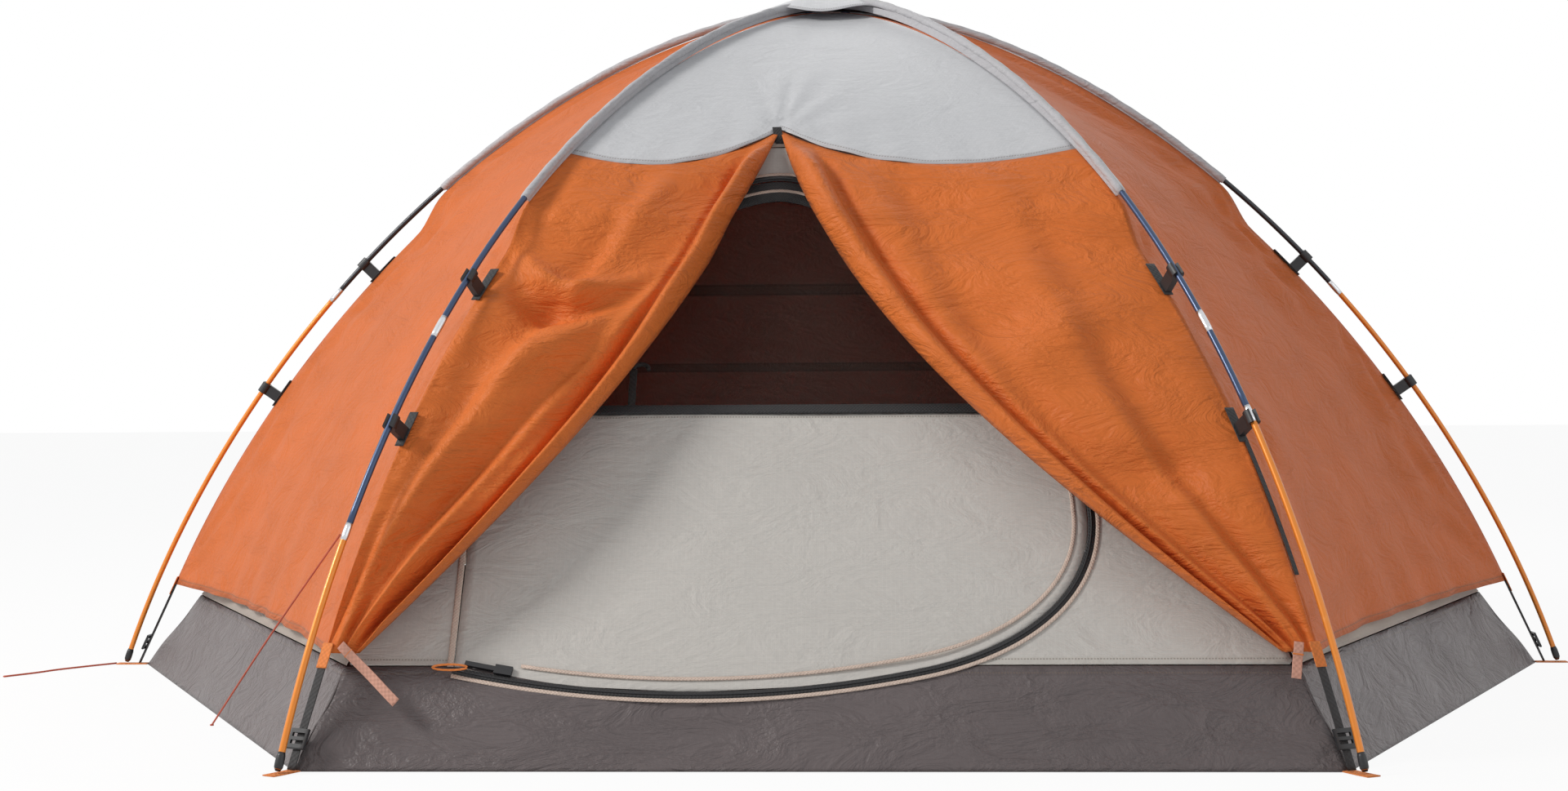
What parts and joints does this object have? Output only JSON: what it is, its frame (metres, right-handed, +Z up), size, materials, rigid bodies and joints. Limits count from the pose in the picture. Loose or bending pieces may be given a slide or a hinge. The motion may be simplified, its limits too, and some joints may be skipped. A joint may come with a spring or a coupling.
{
  "type": "dome tent",
  "caption": "Free-standing six-footed dome tent with crossing poles, a clipped two-tone fly, parted entrance flaps and an inner tent with a zipped D-shaped door.",
  "frame": {"origin": "on the ground, in the middle of the six feet, under the crown", "axes": "+Z up, entrance towards -Y, the single cross pole along X"},
  "size_m": [2.5392, 2.3282, 1.113],
  "materials": {
    "orange_cloth": "coated ripstop nylon, orange",
    "white_cloth": "coated nylon, pale grey white",
    "cream_cloth": "breathable nylon, cream",
    "tub_cloth": "thick coated nylon, dark grey",
    "netting": "fine black insect netting",
    "zip": "coil zip and tape, black",
    "pole_orange": "anodised orange",
    "pole_blue": "anodised dark blue",
    "black_plastic": "moulded black acetal",
    "orange_webbing": "woven webbing, orange",
    "tan_webbing": "woven webbing, tan pink",
    "cord": "thin braided cord, red"
  },
  "bodies": {
    "tent": {"pole_foot_front_left": "pole_orange", "sleeve_front_left": "white_cloth", "corner_strap_front_left": "orange_webbing", "pole_foot_front_right": "pole_orange", "sleeve_front_right": "white_cloth", "corner_strap_front_right": "orange_webbing", "pole_foot_right": "pole_orange", "sleeve_right": "white_cloth", "corner_strap_right": "orange_webbing", "pole_foot_rear_right": "pole_orange", "sleeve_rear_right": "white_cloth", "corner_strap_rear_right": "orange_webbing", "pole_foot_rear_left": "pole_orange", "sleeve_rear_left": "white_cloth", "corner_strap_rear_left": "orange_webbing", "pole_foot_left": "pole_orange", "sleeve_left": "white_cloth", "corner_strap_left": "orange_webbing", "pole_arch_across": "pole_blue", "pole_arch_diagonal_a": "pole_blue", "pole_arch_diagonal_b": "pole_blue", "fly_left": "orange_cloth", "fly_right": "orange_cloth", "fly_back": "orange_cloth", "fly_rear_left": "orange_cloth", "fly_rear_right": "orange_cloth", "fly_roof_front": "white_cloth", "flap_left": "orange_cloth", "flap_right": "orange_cloth", "tub_floor": "tub_cloth", "inner_front_wall": "cream_cloth", "inner_canopy": "cream_cloth", "zip_tape": "zip", "guy_line": "cord", "peg_cord_left": "cord"},
    "door": {"door_panel": "cream_cloth", "door_mesh": "netting"},
    "zip_slider": {"zip_slider": "zip"},
    "tie_left": {"tie_left": "tan_webbing"},
    "tie_right": {"tie_right": "tan_webbing"},
    "clip_front_left_low": {"clip_front_left_low": "black_plastic"},
    "clip_front_left_high": {"clip_front_left_high": "black_plastic"},
    "buckle_front_left": {"buckle_front_left": "black_plastic"},
    "clip_front_right_low": {"clip_front_right_low": "black_plastic"},
    "clip_front_right_high": {"clip_front_right_high": "black_plastic"},
    "buckle_front_right": {"buckle_front_right": "black_plastic"},
    "clip_right_low": {"clip_right_low": "black_plastic"},
    "clip_right_high": {"clip_right_high": "black_plastic"},
    "buckle_right": {"buckle_right": "black_plastic"},
    "clip_rear_right_low": {"clip_rear_right_low": "black_plastic"},
    "clip_rear_right_high": {"clip_rear_right_high": "black_plastic"},
    "buckle_rear_right": {"buckle_rear_right": "black_plastic"},
    "clip_rear_left_low": {"clip_rear_left_low": "black_plastic"},
    "clip_rear_left_high": {"clip_rear_left_high": "black_plastic"},
    "buckle_rear_left": {"buckle_rear_left": "black_plastic"},
    "clip_left_low": {"clip_left_low": "black_plastic"},
    "clip_left_high": {"clip_left_high": "black_plastic"},
    "buckle_left": {"buckle_left": "black_plastic"}
  },
  "joints": [
    {"name": "door_hinge", "type": "hinge", "parent": "tent", "child": "door", "pos_m": [-0.445, -1.04109, 0.1145], "axis": [0, 0.5666, 0.824], "range_deg": [0, 17]},
    {"name": "zip_travel", "type": "hinge", "parent": "door", "child": "zip_slider", "pos_m": [-0.154, -0.34767, 1.12549], "axis": [0, -0.824, 0.5666], "range_deg": [0, 22]},
    {"name": "clip_front_left_low_swivel", "type": "hinge", "parent": "tent", "child": "clip_front_left_low", "pos_m": [-0.53732, -0.966, 0.415], "axis": [0.2691, 0.4838, 0.8328], "range_deg": [-15, 15]},
    {"name": "clip_front_left_high_swivel", "type": "hinge", "parent": "tent", "child": "clip_front_left_high", "pos_m": [-0.46153, -0.82974, 0.605], "axis": [0.33, 0.5933, 0.7343], "range_deg": [-15, 15]},
    {"name": "buckle_front_left_tilt", "type": "hinge", "parent": "tent", "child": "buckle_front_left", "pos_m": [-0.62233, -1.11884, 0.02785], "axis": [0.8739, -0.4861, 0], "range_deg": [0, 35]},
    {"name": "clip_front_right_low_swivel", "type": "hinge", "parent": "tent", "child": "clip_front_right_low", "pos_m": [0.53762, -0.96654, 0.415], "axis": [-0.2706, 0.4865, 0.8307], "range_deg": [-15, 15]},
    {"name": "clip_front_right_high_swivel", "type": "hinge", "parent": "tent", "child": "clip_front_right_high", "pos_m": [0.46223, -0.831, 0.605], "axis": [-0.3395, 0.6104, 0.7157], "range_deg": [-15, 15]},
    {"name": "buckle_front_right_tilt", "type": "hinge", "parent": "tent", "child": "buckle_front_right", "pos_m": [0.62233, -1.11884, 0.02785], "axis": [0.8739, 0.4861, 0], "range_deg": [0, 35]},
    {"name": "clip_right_low_swivel", "type": "hinge", "parent": "tent", "child": "clip_right_low", "pos_m": [0.95431, 0, 0.465], "axis": [-0.568, 0, 0.8231], "range_deg": [-15, 15]},
    {"name": "clip_right_high_swivel", "type": "hinge", "parent": "tent", "child": "clip_right_high", "pos_m": [0.78456, 0, 0.672], "axis": [-0.6921, 0, 0.7218], "range_deg": [-15, 15]},
    {"name": "buckle_right_tilt", "type": "hinge", "parent": "tent", "child": "buckle_right", "pos_m": [1.1617, 0, 0.02783], "axis": [0, 1, 0], "range_deg": [0, 35]},
    {"name": "clip_rear_right_low_swivel", "type": "hinge", "parent": "tent", "child": "clip_rear_right_low", "pos_m": [0.53732, 0.966, 0.415], "axis": [-0.2691, -0.4838, 0.8328], "range_deg": [-15, 15]},
    {"name": "clip_rear_right_high_swivel", "type": "hinge", "parent": "tent", "child": "clip_rear_right_high", "pos_m": [0.46153, 0.82974, 0.605], "axis": [-0.33, -0.5933, 0.7343], "range_deg": [-15, 15]},
    {"name": "buckle_rear_right_tilt", "type": "hinge", "parent": "tent", "child": "buckle_rear_right", "pos_m": [0.62233, 1.11884, 0.02785], "axis": [-0.8739, 0.4861, 0], "range_deg": [0, 35]},
    {"name": "clip_rear_left_low_swivel", "type": "hinge", "parent": "tent", "child": "clip_rear_left_low", "pos_m": [-0.53762, 0.96654, 0.415], "axis": [0.2706, -0.4865, 0.8307], "range_deg": [-15, 15]},
    {"name": "clip_rear_left_high_swivel", "type": "hinge", "parent": "tent", "child": "clip_rear_left_high", "pos_m": [-0.46223, 0.831, 0.605], "axis": [0.3395, -0.6104, 0.7157], "range_deg": [-15, 15]},
    {"name": "buckle_rear_left_tilt", "type": "hinge", "parent": "tent", "child": "buckle_rear_left", "pos_m": [-0.62233, 1.11884, 0.02785], "axis": [-0.8739, -0.4861, 0], "range_deg": [0, 35]},
    {"name": "clip_left_low_swivel", "type": "hinge", "parent": "tent", "child": "clip_left_low", "pos_m": [-0.95431, 0, 0.465], "axis": [0.568, 0, 0.8231], "range_deg": [-15, 15]},
    {"name": "clip_left_high_swivel", "type": "hinge", "parent": "tent", "child": "clip_left_high", "pos_m": [-0.78456, 0, 0.672], "axis": [0.6921, 0, 0.7218], "range_deg": [-15, 15]},
    {"name": "buckle_left_tilt", "type": "hinge", "parent": "tent", "child": "buckle_left", "pos_m": [-1.1617, 0, 0.02783], "axis": [0, -1, 0], "range_deg": [0, 35]},
    {"name": "tie_left_swing", "type": "hinge", "parent": "tent", "child": "tie_left", "pos_m": [-0.57496, -1.07081, 0.14221], "axis": [-0.2135, -0.9578, 0.1923], "range_deg": [-18, 18]},
    {"name": "tie_right_swing", "type": "hinge", "parent": "tent", "child": "tie_right", "pos_m": [0.57496, -1.07011, 0.14221], "axis": [0.04, -0.9578, 0.2846], "range_deg": [-22, 22]}
  ]
}
